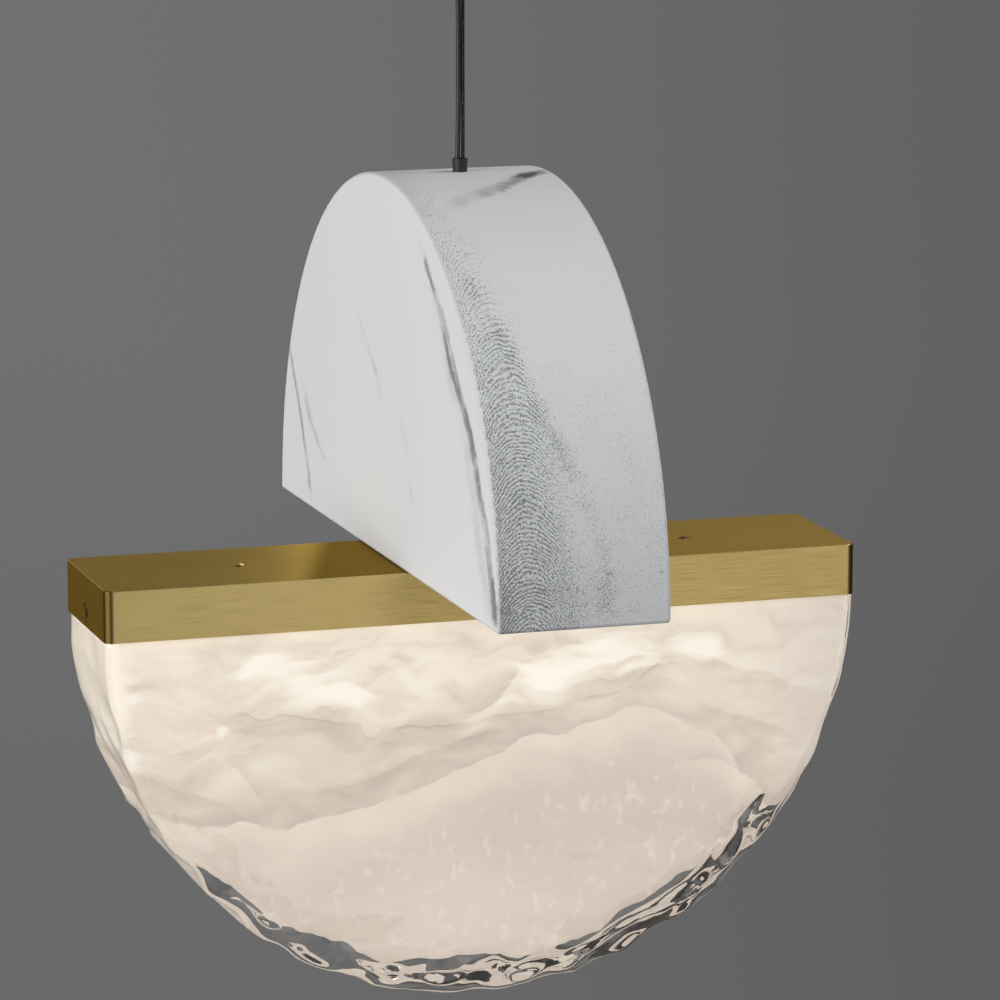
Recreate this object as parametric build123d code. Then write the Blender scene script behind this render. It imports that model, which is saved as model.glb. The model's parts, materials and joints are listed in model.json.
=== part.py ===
from build123d import *
import os
from math import radians, tan

# A pendant lamp: a marble half disc stands on a brass bar, a hollow glass half disc
# hangs under it, and a steel rope beside a thin cable carries them from a canopy.
# Millimetres. The origin is on the ceiling over the lamp's middle, +Z is up,
# X runs along the bar and -Y is the front.

# Overall places
drop_to_bar = 264.0  # ceiling to the top of the bar
swing_limit = 15.0  # degrees that the lamp swings each way

# Rope and cable
rope_radius = 0.75
cable_radius = 0.95
cable_at_marble = 2.15  # cable's middle beside the rope where it leaves the marble
cable_alongside = 1.72  # and where the two lie against each other
cable_at_ball = 2.85  # and where it passes the ball
cable_settle = 27.0  # above the crown, where it reaches the rope
cable_parting = 12.0  # below the nipple, where it leaves the rope
pocket_bend = 12.0

# Marble half disc
marble_radius = 148.0
marble_thickness = 66.0
marble_edge = 1.5  # eased arris
bore_radius = 2.8  # drilled from crown to base for the rope and the cable
wire_pocket_depth = 18.0
wire_pocket_width = 8.0
gland_height = 5.0  # stands above the crown
gland_flare = 0.2  # wider at its top
gland_stem = 9.0
gland_wall = 0.75

# Threaded inserts in the marble and the bolts that hold it to the bar
insert_radius = 4.5
insert_length = 20.0
bolt_radius = 3.0
bolt_spacing_x = 40.0
bolt_spacing_y = 28.0
bolt_head_radius = 5.25
bolt_head_height = 3.3
bolt_head_taper = 0.6  # radius at the foot over the radius at the top
bolt_grip = 16.0  # thread inside the insert
washer_radius = 6.0
washer_thickness = 1.6
key_flats = 1.3  # a key hole's width over the screw's radius

# Brass bar cover, folded from sheet, open below
bar_length = 300.0
bar_width = 66.0
bar_height = 20.0
cover_wall = 2.0
cover_corner = 3.5  # upright edges
cover_arris = 0.5  # top edges
seam_width = 0.4
top_screw_margin = 60.0  # from each end of the bar
end_screw_drop = 14.7  # top of the bar to the end screws

# Inner tray that carries the load, the lights and the glass
tray_gap = 0.2
tray_thickness = 3.0
tray_flange = 2.0
tab_width = 44.0

# Small fasteners and fittings
top_screw_radius = 1.5
top_screw_head = 3.0
top_screw_cone = 1.4
top_screw_recess = 0.4
top_screw_key_depth = 1.0
top_screw_short = 0.5  # its tip stops inside the tray
end_screw_radius = 2.5
end_screw_head = 3.8
end_screw_head_height = 1.6
end_screw_reach = 11.0
sleeve_wall = 0.9
thread_clearance = 0.05
hole_clearance = 0.4
fit = 0.05

# Rope ferrule, cable grommet and splice in the bar
ferrule_radius = 2.6
ferrule_length = 9.0
ferrule_washer_radius = 4.5
ferrule_washer_thickness = 1.2
grommet_at = 9.0  # to the left of the rope
grommet_radius = 3.2
grommet_lip = 1.0
splice_length = 15.0
splice_side = 8.0
splice_edge = 1.0
cable_bend = 4.2

# Light boards
board_start = 36.0
board_margin = 5.6  # short of the glass's rim
board_width = 18.0
board_thickness = 1.6
chip_count = 12
chip_length = 3.5
chip_width = 2.8
chip_height = 0.8
chip_margin = 14.0
board_screw_radius = 1.5
board_screw_head = 2.8
board_screw_head_height = 1.8
board_screw_margin = 8.0
lens_width = 24.0
lens_depth = 8.0
lens_wall = 1.2
lens_corner = 3.0
lens_overlap = 2.0  # past each end of its board
lead_radius = 0.6
lead_pitch = 1.44
lead_bend = 1.5
lead_on_board = 3.0

# Glass half disc
glass_inset = 0.4  # short of each end of the bar, and narrower than it
glass_gap = 0.3  # under the bar
rim_wall = 14.0
face_wall = 10.0
glass_edge = 6.0
glass_arris = 1.5
cavity_edge = 7.0
neck_height = 12.0
neck_corner = 6.0
gasket = 0.8
gasket_height = 9.0

# Ceiling bracket
bracket_length = 100.0
bracket_width = 22.0
bracket_thickness = 2.0
bracket_drop = 10.0  # its middle hangs below the ceiling
bracket_middle = 50.0
bracket_bend = 2.5  # middle of the sheet
slot_spacing = 70.0
slot_length = 12.0
slot_radius = 2.6

# Canopy and its threaded nipple
canopy_radius = 60.0
canopy_height = 30.0
canopy_wall = 1.2
canopy_corner = 3.0
nipple_radius = 6.5
nipple_wall = 1.25
nipple_below = 5.0  # below the canopy
nipple_above = 1.5  # above its upper nut
lock_nut_size = 8.5  # half the width across its flats
lock_nut_height = 3.0
ring_nut_radius = 10.0
ring_nut_height = 8.0
ring_nut_edge = 1.0
ring_nut_lip = 0.6  # ledge that the ball seat stands on

# Ball end of the rope and the cup that it hangs in
ball_radius = 1.8
ball_seat_height = 4.0
ball_above_seat = 2.4
ball_clearance = 0.05

# Driver, terminals and their leads inside the canopy
driver_length = 62.0
driver_width = 32.0
driver_height = 20.0
driver_offset = 30.0
driver_edge = 2.0
terminal_length = 28.0
terminal_width = 16.0
terminal_height = 13.0
terminal_offset = 26.0
terminal_poles = 3
terminal_base = 0.6  # height of the base over the whole height
terminal_entry = 0.3  # height of the wires over the whole height
mains_lead_radius = 1.1
mains_lead_pitch = 3.0
mains_lead_out = 7.0  # beyond the driver's end
mains_lead_bend = 3.0
canopy_cable_out = 11.0  # beyond the driver's other end
canopy_cable_start = 2.1  # above the pivot
canopy_cable_top = 3.4  # below the ceiling
canopy_cable_turn = [3.0, 8.0]  # short of the driver's end, each way
canopy_cable_bends = [2.0, 4.0, 5.0]

# Levels worked out from the sizes above
bar_top = -drop_to_bar
bar_bottom = bar_top - bar_height
crown = bar_top + marble_radius
gland_foot = crown - gland_stem
web_top = bar_top - cover_wall
web_bottom = web_top - tray_thickness
neck_top = bar_bottom + neck_height
glass_top = bar_bottom - glass_gap
end_screw_z = bar_top - end_screw_drop
nipple_bottom = -canopy_height - nipple_below
pivot_z = nipple_bottom + ball_above_seat
ball_foot = pivot_z - ball_radius - ball_clearance
canopy_floor = canopy_wall - canopy_height
nipple_top = lock_nut_height + nipple_above - bracket_drop
nipple_bore = nipple_radius - nipple_wall

# Places across the bar
inner_length = bar_length - 2 * cover_wall
inner_width = bar_width - 2 * cover_wall
top_screw_x = bar_length / 2 - top_screw_margin
tray_length = inner_length - 2 * tray_gap
tray_width = inner_width - 2 * tray_gap
neck_half_length = tray_length / 2 - tray_thickness - gasket
neck_half_width = tray_width / 2 - gasket
glass_radius = bar_length / 2 - glass_inset
glass_thickness = bar_width - glass_inset
cavity_radius = glass_radius - rim_wall
cavity_half_width = glass_thickness / 2 - face_wall
pair_middle = -(cable_at_marble + cable_radius - rope_radius) / 2
bolt_places = [(x, y) for x in (-bolt_spacing_x / 2, bolt_spacing_x / 2)
               for y in (-bolt_spacing_y / 2, bolt_spacing_y / 2)]
board_length = cavity_radius - board_start - board_margin
board_screw_places = [board_start + board_screw_margin, board_start + board_length - board_screw_margin]
ends = (-1, 1)


def rod(radius, low, high, x=0.0, y=0.0):
    """An upright round bar between two levels."""
    return Pos(x, y, low) * extrude(Circle(radius), high - low)


def tube(outer, inner, low, high, x=0.0, y=0.0):
    """An upright round tube between two levels."""
    return rod(outer, low, high, x, y) - rod(inner, low, high, x, y)


def cone(low_radius, high_radius, low, high, x=0.0, y=0.0):
    """An upright cone between two levels."""
    height = high - low
    return Pos(x, y, low + height / 2) * Cone(low_radius, high_radius, height)


def block(length, width, low, high, x=0.0, y=0.0):
    """An upright box between two levels."""
    return Pos(x, y, (low + high) / 2) * Box(length, width, high - low)


def across(radius, start, end, y, z):
    """A round bar along X."""
    return Pos((start + end) / 2, y, z) * Rot(0, 90, 0) * Cylinder(radius, abs(end - start))


def wire(points, radius, bends):
    """A round wire along straight runs joined by arcs."""
    path = FilletPolyline(*points, radius=bends)
    section = Plane(origin=path @ 0, z_dir=path % 0) * Circle(radius)
    return sweep(section, path=path)


def arc_radii(points):
    """The largest arcs that the runs of a free cord allow."""
    places = [Vector(*point) for point in points]
    radii = []
    for before, corner, after in zip(places, places[1:], places[2:]):
        run_in, run_out = corner - before, after - corner
        turn = radians(run_in.get_angle(run_out))
        radii.append(0.45 * min(run_in.length, run_out.length) / tan(turn / 2))
    return radii


def half_disc(radius, thickness, upright):
    """A half disc on the XY plane, standing on its straight side or hanging from it."""
    side = 1 if upright else -1
    arc = ThreePointArc((-radius, 0), (0, side * radius), (radius, 0))
    face = make_face([arc.edge(), Line((-radius, 0), (radius, 0)).edge()])
    return extrude(face, thickness / 2, both=True)


def socket(across_flats, depth, top, x=0.0, y=0.0):
    """A hexagon recess, for the head of a screw."""
    hexagon = RegularPolygon(across_flats / 2, 6, major_radius=False)
    return Pos(x, y, top - depth) * extrude(hexagon, depth)


def make_marble():
    disc = Pos(0, 0, bar_top) * (Plane.YZ * half_disc(marble_radius, marble_thickness, True))
    disc = fillet(disc.edges(), marble_edge)
    disc -= rod(bore_radius, bar_top, crown + 1, pair_middle)
    pocket_left = -grommet_at - wire_pocket_width / 2
    pocket_right = wire_pocket_width / 2
    pocket = block(pocket_right - pocket_left, wire_pocket_width, bar_top, bar_top + wire_pocket_depth,
                   (pocket_left + pocket_right) / 2)
    disc -= fillet(pocket.edges().filter_by(Axis.Z), wire_pocket_width / 4)
    for x, y in bolt_places:
        disc -= rod(insert_radius + fit, bar_top, bar_top + insert_length + 1, x, y)
    return disc


def make_gland():
    foot = bore_radius - fit
    bush = rod(foot, gland_foot, crown, pair_middle)
    bush += cone(foot, foot + gland_flare, crown, crown + gland_height, pair_middle)
    passage = foot - gland_wall
    return bush - rod(passage, gland_foot, crown + gland_height, pair_middle)


def make_inserts():
    return [tube(insert_radius, bolt_radius + thread_clearance, bar_top, bar_top + insert_length, x, y)
            for x, y in bolt_places]


def make_bolts():
    bolts = []
    head_top = web_bottom - washer_thickness
    head_foot = head_top - bolt_head_height
    for x, y in bolt_places:
        head = cone(bolt_head_radius * bolt_head_taper, bolt_head_radius, head_foot, head_top, x, y)
        key = socket(bolt_radius * key_flats, bolt_head_height / 2, head_foot + bolt_head_height / 2, x, y)
        bolts.append(head + rod(bolt_radius, head_top, bar_top + bolt_grip, x, y) - key)
    return bolts


def make_washers():
    return [tube(washer_radius, bolt_radius + hole_clearance, web_bottom - washer_thickness, web_bottom, x, y)
            for x, y in bolt_places]


def top_screw(x, grow=0.0):
    head_top = bar_top - top_screw_recess
    cone_foot = head_top - top_screw_cone
    screw = cone(top_screw_radius + grow, top_screw_head + grow, cone_foot, head_top, x)
    return screw + rod(top_screw_radius + grow, web_bottom + top_screw_short, cone_foot, x)


def make_cover():
    shell = block(bar_length, bar_width, bar_bottom, bar_top)
    shell = fillet(shell.edges().filter_by(Axis.Z), cover_corner)
    shell = fillet(shell.faces().sort_by(Axis.Z)[-1].edges(), cover_arris)
    hollow = block(inner_length, inner_width, bar_bottom, web_top)
    shell -= fillet(hollow.edges().filter_by(Axis.Z), cover_corner - cover_wall)
    for end in ends:
        for side in ends:
            shell -= block(3 * cover_wall, seam_width, bar_bottom, web_top,
                           end * bar_length / 2, side * (bar_width / 2 - cover_corner))
        shell -= across(end_screw_head + hole_clearance, end * (bar_length / 2 - 2 * cover_wall),
                        end * (bar_length / 2 + 1), 0, end_screw_z)
        x = end * top_screw_x
        shell -= top_screw(x, thread_clearance)
        shell -= rod(top_screw_head + tray_gap, bar_top - top_screw_recess, bar_top + 1, x)
    for x, y in bolt_places:
        shell -= rod(bolt_radius + hole_clearance, web_top, bar_top, x, y)
    shell -= rod(rope_radius + hole_clearance, web_top, bar_top)
    return shell - rod(grommet_radius, web_top, bar_top, -grommet_at)


def make_tray():
    tray = block(tray_length, tray_width, web_bottom, web_top)
    tray = fillet(tray.edges().filter_by(Axis.Z), cover_corner - cover_wall)
    flange_foot = neck_top + gasket
    for side in ends:
        tray += block(2 * neck_half_length, tray_flange, flange_foot, web_bottom,
                      0, side * (tray_width - tray_flange) / 2)
    for end in ends:
        tray += block(tray_thickness, tab_width, bar_bottom + 1, web_bottom,
                      end * (tray_length - tray_thickness) / 2)
        tray -= across(end_screw_radius + thread_clearance, end * (tray_length / 2 - 2 * tray_thickness),
                       end * (tray_length / 2 + 1), 0, end_screw_z)
        tray -= rod(top_screw_radius + thread_clearance, web_bottom, web_top, end * top_screw_x)
        for x in board_screw_places:
            tray -= rod(board_screw_radius + thread_clearance, web_bottom, web_top, end * x)
    for x, y in bolt_places:
        tray -= rod(bolt_radius + hole_clearance, web_bottom, web_top, x, y)
    tray -= rod(rope_radius + hole_clearance, web_bottom, web_top)
    return tray - rod(grommet_radius, web_bottom, web_top, -grommet_at)


def make_top_screws():
    head_top = bar_top - top_screw_recess
    return [top_screw(x) - socket(top_screw_radius * key_flats, top_screw_key_depth, head_top, x)
            for x in (-top_screw_x, top_screw_x)]


def make_end_screws():
    screws = []
    for end in ends:
        seat = tray_length / 2
        tip = seat - end_screw_reach
        screw = across(end_screw_head, end * seat, end * (seat + end_screw_head_height), 0, end_screw_z)
        screw += across(end_screw_radius, end * tip, end * seat, 0, end_screw_z)
        key = socket(end_screw_radius * key_flats, end_screw_head_height, end_screw_head_height)
        screws.append(screw - Pos(end * (seat + end_screw_head_height / 2), 0, end_screw_z)
                      * Rot(0, 90 * end, 0) * key)
    return screws


def make_sleeves():
    """Rubber sleeves that keep the end screws off the glass."""
    inner = end_screw_radius + thread_clearance
    sleeves = []
    for end in ends:
        span = (end * cavity_radius, end * neck_half_length, 0, end_screw_z)
        sleeves.append(across(inner + sleeve_wall, *span) - across(inner, *span))
    return sleeves


def make_ferrule():
    top = web_bottom - ferrule_washer_thickness
    return tube(ferrule_radius, rope_radius + fit, top - ferrule_length, top)


def make_ferrule_washer():
    return tube(ferrule_washer_radius, rope_radius + hole_clearance,
                web_bottom - ferrule_washer_thickness, web_bottom)


def make_grommet():
    ring = rod(grommet_radius - fit, web_bottom, bar_top, -grommet_at)
    ring += rod(grommet_radius + grommet_lip, web_bottom - grommet_lip, web_bottom, -grommet_at)
    return ring - rod(cable_radius + fit, web_bottom - grommet_lip, bar_top, -grommet_at)


def splice_right():
    return -grommet_at - cable_bend - cable_radius - grommet_lip - grommet_radius


def make_splice():
    middle = splice_right() - splice_length / 2
    body = block(splice_length, splice_side, web_bottom - splice_side, web_bottom, middle)
    return chamfer(body.edges().filter_by(Axis.X), splice_edge)


def make_rope_tail():
    foot = web_bottom - ferrule_washer_thickness - ferrule_length + 1
    return rod(rope_radius, foot, gland_foot)


def make_cable_tail():
    level = web_bottom - grommet_lip - cable_bend
    pocket_top = bar_top + wire_pocket_depth
    points = [(-cable_at_marble, 0, gland_foot), (-cable_at_marble, 0, pocket_top - 1),
              (-grommet_at, 0, bar_top + 4), (-grommet_at, 0, level), (splice_right(), 0, level)]
    return wire(points, cable_radius, [pocket_bend, pocket_bend, cable_bend])


def make_rope():
    return rod(rope_radius, gland_foot, ball_foot)


def cable_route():
    """The free cable's points, from the marble to the inside of the nipple."""
    return [(-cable_at_marble, 0, gland_foot), (-cable_at_marble, 0, crown + gland_height),
            (-cable_alongside, 0, crown + cable_settle), (-cable_alongside, 0, nipple_bottom - cable_parting),
            (-cable_at_ball, 0, nipple_bottom - 1), (-cable_at_ball, 0, pivot_z + 1)]


def make_cable():
    points = cable_route()
    radii = arc_radii(points)
    print("cable arcs, mm:", [round(radius) for radius in radii])
    return wire(points, cable_radius, radii)


def make_boards():
    boards = {}
    for end, name in zip(ends, ("led_board_left", "led_board_right")):
        middle = end * (board_start + board_length / 2)
        board = block(board_length, board_width, web_bottom - board_thickness, web_bottom, middle)
        for x in board_screw_places:
            board -= rod(board_screw_radius + thread_clearance, web_bottom - board_thickness, web_bottom,
                         end * x)
        boards[name] = board
    return boards


def make_chips():
    pitch = (board_length - 2 * chip_margin) / (chip_count - 1)
    top = web_bottom - board_thickness
    return [block(chip_length, chip_width, top - chip_height, top,
                  end * (board_start + chip_margin + n * pitch))
            for end in ends for n in range(chip_count)]


def make_board_screws():
    top = web_bottom - board_thickness
    return [rod(board_screw_head, top - board_screw_head_height, top, end * x)
            + rod(board_screw_radius, top, web_top - 0.5, end * x)
            for end in ends for x in board_screw_places]


def make_lenses():
    """Opal covers clipped to the tray over the light boards."""
    lenses = {}
    length = board_length + 2 * lens_overlap
    foot = web_bottom - lens_depth
    for end, name in zip(ends, ("led_lens_left", "led_lens_right")):
        middle = end * (board_start + board_length / 2)
        lens = block(length, lens_width, foot, web_bottom, middle)
        lens = fillet(lens.faces().sort_by(Axis.Z)[0].edges().filter_by(Axis.X), lens_corner)
        inner = block(length - 2 * lens_wall, lens_width - 2 * lens_wall, foot + lens_wall, web_bottom, middle)
        inner = fillet(inner.faces().sort_by(Axis.Z)[0].edges().filter_by(Axis.X), lens_corner - lens_wall)
        wire_notch = block(4 * lens_wall, lens_width - 4 * lens_wall, lead_level() - 2 * lead_radius,
                           web_bottom, end * (board_start - lens_overlap))
        lenses[name] = lens - inner - wire_notch
    return lenses


def lead_level():
    return web_bottom - board_thickness - lead_radius - 0.1


def make_board_leads():
    """One pair of wires from the splice to each light board."""
    splice_left = splice_right() - splice_length
    on_board = board_start + lead_on_board
    leads = []
    for n in (1, 2):
        y = splice_side / 2 - n * lead_pitch
        beside = ferrule_washer_radius + n * lead_pitch
        leads.append(across(lead_radius, splice_left, -on_board, y, lead_level()))
        points = [(splice_right(), y, lead_level()), (splice_right() + 2, y, lead_level()),
                  (splice_right() + 6, beside, lead_level()), (on_board, beside, lead_level())]
        leads.append(wire(points, lead_radius, lead_bend))
    return leads


def make_glass():
    body = Pos(0, 0, glass_top) * (Plane.XZ * half_disc(glass_radius, glass_thickness, False))
    arcs = body.edges().filter_by(GeomType.CIRCLE)
    body = fillet(arcs, glass_edge)
    body = fillet(body.faces().sort_by(Axis.Z)[-1].edges(), glass_arris)
    neck = block(2 * neck_half_length, 2 * neck_half_width, glass_top - 1, neck_top)
    body += fillet(neck.edges().filter_by(Axis.Z), neck_corner)
    cavity = Plane.XZ * half_disc(cavity_radius, 2 * cavity_half_width, False)
    cavity = fillet(cavity.edges().filter_by(GeomType.CIRCLE), cavity_edge)
    mouth = block(2 * cavity_radius, 2 * cavity_half_width, -cavity_edge, neck_top - glass_top)
    body -= Pos(0, 0, glass_top) * (cavity + mouth)
    hole = end_screw_radius + thread_clearance + sleeve_wall + thread_clearance
    for end in ends:
        body -= across(hole, end * (cavity_radius - 2 * cavity_edge), end * (neck_half_length + 1),
                       0, end_screw_z)
    return body


def make_gasket():
    foot, top = neck_top - gasket_height, neck_top
    ring = block(2 * (neck_half_length + gasket), 2 * (neck_half_width + gasket), foot, top)
    ring = fillet(ring.edges().filter_by(Axis.Z), neck_corner + gasket)
    inner = block(2 * neck_half_length, 2 * neck_half_width, foot, top)
    ring -= fillet(inner.edges().filter_by(Axis.Z), neck_corner)
    for end in ends:
        ring -= across(end_screw_radius + thread_clearance, end * (neck_half_length - 1),
                       end * (neck_half_length + 2 * gasket), 0, end_screw_z)
    return ring


def make_bracket():
    half, middle, surface = bracket_length / 2, bracket_middle / 2, -bracket_thickness / 2
    low = surface - bracket_drop
    line = FilletPolyline((-half, surface), (-middle, surface), (-middle, low), (middle, low),
                          (middle, surface), (half, surface), radius=bracket_bend)
    strap = extrude(Plane.XZ * trace(line, line_width=bracket_thickness), bracket_width / 2, both=True)
    strap -= rod(nipple_radius + fit, low - bracket_thickness, low + bracket_thickness)
    slot = SlotOverall(slot_length, 2 * slot_radius)
    for end in ends:
        strap -= Pos(end * slot_spacing / 2, 0, -2 * bracket_thickness) * extrude(slot, 3 * bracket_thickness)
    return strap


def make_nipple():
    return tube(nipple_radius, nipple_bore, nipple_bottom, nipple_top)


def lock_nut(low):
    nut = Pos(0, 0, low) * extrude(RegularPolygon(lock_nut_size, 6, major_radius=False), lock_nut_height)
    return nut - rod(nipple_radius + fit, low, low + lock_nut_height)


def make_lock_nuts():
    return [lock_nut(-bracket_drop), lock_nut(-bracket_drop - bracket_thickness - lock_nut_height)]


def make_canopy():
    cup = rod(canopy_radius, -canopy_height, 0)
    cup = fillet(cup.edges().sort_by(Axis.Z)[0], canopy_corner)
    hollow = rod(canopy_radius - canopy_wall, canopy_floor, 0)
    hollow = fillet(hollow.edges().sort_by(Axis.Z)[0], canopy_corner - canopy_wall)
    return cup - hollow - rod(nipple_radius + hole_clearance, -canopy_height, canopy_floor)


def seat_radius():
    return nipple_bore - fit


def make_ring_nut():
    foot = -canopy_height - ring_nut_height
    nut = rod(ring_nut_radius, foot, -canopy_height)
    nut = chamfer(nut.edges().filter_by(GeomType.CIRCLE), ring_nut_edge)
    nut -= rod(nipple_radius + fit, nipple_bottom, -canopy_height)
    throat = nipple_bore - ring_nut_lip
    mouth = throat + (nipple_bottom - foot) * 2 * tan(radians(swing_limit))
    return nut - cone(mouth, throat, foot, nipple_bottom)


def make_ball_seat():
    top = nipple_bottom + ball_seat_height
    cup = rod(seat_radius(), nipple_bottom, top)
    cup -= Pos(0, 0, pivot_z) * Sphere(ball_radius + ball_clearance)
    cup -= rod(ball_radius + ball_clearance, pivot_z, top)
    lean = tan(radians(1.5 * swing_limit))  # both swings together lean further than one
    foot_hole = rope_radius + ball_clearance + lean * ball_above_seat + 0.1
    cup -= cone(foot_hole, rope_radius + ball_clearance + 0.1, nipple_bottom, pivot_z)
    slot_half = cable_radius + lean * ball_above_seat + 0.1
    return cup - block(2 * nipple_bore, 2 * slot_half, nipple_bottom, top, -nipple_bore - rope_radius)


def make_ball():
    return Pos(0, 0, pivot_z) * Sphere(ball_radius)


def make_driver():
    foot = canopy_floor
    body = block(driver_length, driver_width, foot, foot + driver_height, 0, driver_offset)
    return fillet(body.edges(), driver_edge)


def make_terminals():
    foot = canopy_floor
    pitch = terminal_length / terminal_poles
    body = block(terminal_length, terminal_width, foot, foot + terminal_height * terminal_base,
                 0, -terminal_offset)
    for n in range(terminal_poles):
        x = (n - (terminal_poles - 1) / 2) * pitch
        body += block(pitch * 0.8, terminal_width * 0.7, foot, foot + terminal_height, x, -terminal_offset)
    return body


def make_driver_leads():
    """Mains wires from the driver's end round to the terminals."""
    level = canopy_floor + terminal_height * terminal_entry
    leads = []
    for n in (-1, 1):
        out = driver_length / 2 + mains_lead_out + mains_lead_pitch * n / 2
        start, end = driver_offset + 2 * n, -terminal_offset - 2 * n
        points = [(driver_length / 2, start, level), (out, start, level), (out, end, level),
                  (terminal_length / 2, end, level)]
        leads.append(wire(points, mains_lead_radius, mains_lead_bend))
    return leads


def make_canopy_cable():
    """The cable's last stretch, from the nipple over the bracket to the driver."""
    side = -driver_length / 2
    out = side - canopy_cable_out
    turn_x, turn_y = canopy_cable_turn
    entry = canopy_floor + driver_height / 2
    points = [(-cable_at_ball, 0, pivot_z + canopy_cable_start), (-cable_at_ball, 0, -canopy_cable_top),
              (out + turn_x, driver_offset - turn_y, -canopy_cable_top), (out, driver_offset, entry),
              (side, driver_offset, entry)]
    return wire(points, cable_radius, canopy_cable_bends)


nodes = {
    "ceiling_bracket": make_bracket(),
    "suspension_nipple": make_nipple(),
    "nipple_lock_nuts": make_lock_nuts(),
    "canopy_cup": make_canopy(),
    "canopy_ring_nut": make_ring_nut(),
    "led_driver": make_driver(),
    "terminal_block": make_terminals(),
    "driver_leads": make_driver_leads(),
    "canopy_cable": make_canopy_cable(),
    "ball_seat": make_ball_seat(),
    "rope_ball": make_ball(),
    "suspension_rope": make_rope(),
    "power_cable": make_cable(),
    "rope_in_marble": make_rope_tail(),
    "cable_in_marble": make_cable_tail(),
    "marble_gland": make_gland(),
    "marble_half_disc": make_marble(),
    "marble_inserts": make_inserts(),
    "marble_bolts": make_bolts(),
    "bolt_washers": make_washers(),
    "bar_cover": make_cover(),
    "inner_tray": make_tray(),
    "top_screws": make_top_screws(),
    "end_screws": make_end_screws(),
    "screw_sleeves": make_sleeves(),
    "rope_ferrule": make_ferrule(),
    "ferrule_washer": make_ferrule_washer(),
    "cable_grommet": make_grommet(),
    "splice_connector": make_splice(),
    **make_boards(),
    "led_chips": make_chips(),
    "board_screws": make_board_screws(),
    **make_lenses(),
    "board_leads": make_board_leads(),
    "glass_shade": make_glass(),
    "neck_gasket": make_gasket(),
}

os.makedirs("parts", exist_ok=True)
for name, shape in nodes.items():
    if isinstance(shape, list):
        shape = Compound(children=[solid for piece in shape for solid in piece.solids()])
    export_step(shape, f"parts/{name}.step")
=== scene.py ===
import bpy
import bmesh
import json
import math
from functools import partial
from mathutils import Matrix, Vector, noise

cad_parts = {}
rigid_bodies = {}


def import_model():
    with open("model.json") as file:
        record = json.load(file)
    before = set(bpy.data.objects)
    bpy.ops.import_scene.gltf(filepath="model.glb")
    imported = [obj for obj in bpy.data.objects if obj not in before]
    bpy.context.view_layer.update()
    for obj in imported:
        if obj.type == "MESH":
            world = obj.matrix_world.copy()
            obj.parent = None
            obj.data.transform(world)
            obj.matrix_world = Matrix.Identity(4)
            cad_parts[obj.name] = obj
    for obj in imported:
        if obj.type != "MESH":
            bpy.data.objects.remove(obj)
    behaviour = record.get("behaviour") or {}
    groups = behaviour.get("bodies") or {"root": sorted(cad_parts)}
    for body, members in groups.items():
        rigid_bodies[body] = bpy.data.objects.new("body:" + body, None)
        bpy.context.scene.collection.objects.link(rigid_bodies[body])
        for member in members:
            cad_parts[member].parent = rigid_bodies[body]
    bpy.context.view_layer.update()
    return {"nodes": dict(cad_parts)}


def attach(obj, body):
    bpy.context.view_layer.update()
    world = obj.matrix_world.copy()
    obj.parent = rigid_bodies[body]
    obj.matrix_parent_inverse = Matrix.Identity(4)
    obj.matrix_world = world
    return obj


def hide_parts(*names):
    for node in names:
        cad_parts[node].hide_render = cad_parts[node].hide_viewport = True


for leftover in list(bpy.data.objects):  # Blender's start-up cube, lamp and camera
    bpy.data.objects.remove(leftover)
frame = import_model()

mm = 0.001  # in metres, as Blender counts
glassTop = -284.3  # mm, the level where the glass starts inside the bar's foot
softly = {"interpolation_type": "SMOOTHSTEP"}  # for a MapRange whose change is eased
middling = (0.3, 0.7)  # the span that holds nearly all of a noise's values


# small tools
def linear(hexColour, alpha=1.0):  # an sRGB hex colour as Blender's linear one
    parts = [int(hexColour[i:i + 2], 16) / 255 for i in (1, 3, 5)]
    return tuple(c / 12.92 if c <= 0.04045 else ((c + 0.055) / 1.055) ** 2.4 for c in parts) + (alpha,)


def addNode(tree, kind, inputs=(), **settings):  # a value is a number, a hex colour, a socket or another node
    node = tree.nodes.new("ShaderNode" + kind)
    for name, value in settings.items():
        setattr(node, name, value)
    for socket, value in (inputs.items() if isinstance(inputs, dict) else enumerate(inputs)):
        if isinstance(value, bpy.types.Node):
            value = next(output for output in value.outputs if output.enabled)
        if isinstance(value, bpy.types.NodeSocket):
            tree.links.new(value, node.inputs[socket])
        else:
            node.inputs[socket].default_value = linear(value) if isinstance(value, str) else value
    return node


def startMaterial(name):  # the material, and addNode for its tree
    material = bpy.data.materials.new(name)
    material.use_nodes = True
    material.node_tree.nodes.clear()
    return material, partial(addNode, material.node_tree)


def placeInMm(add):  # where on the object a point is, in millimetres
    return add("VectorMath", {0: add("TexCoord").outputs["Object"], 3: 1 / mm}, operation="SCALE")


def grain(add, place, size, detail=2.0, stretch=(1, 1, 1), turn=(0, 0, 0)):  # noise, with the size of a grain in mm
    scaled = add("Mapping", {"Vector": place, "Rotation": turn, "Scale": tuple(1 / (size * s) for s in stretch)})
    return add("TexNoise", {"Vector": scaled, "Scale": 1.0, "Detail": detail, "Roughness": 0.55})


def curveThrough(add, value, points):  # a drawn line, as the second number at each first number, in mm
    points = sorted(points)
    first, last = points[0][0], points[-1][0]
    low, high = min(b for a, b in points) - 1, max(b for a, b in points) + 1
    node = add("FloatCurve", {"Value": add("MapRange", [value, first, last])})
    spots = [((a - first) / (last - first), (b - low) / (high - low)) for a, b in points]
    curve = node.mapping.curves[0]
    curve.points[0].location, curve.points[1].location = spots[0], spots[-1]
    for spot in spots[1:-1]:
        curve.points.new(*spot)
    node.mapping.update()
    return add("MapRange", {0: node, 3: low, 4: high})


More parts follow.
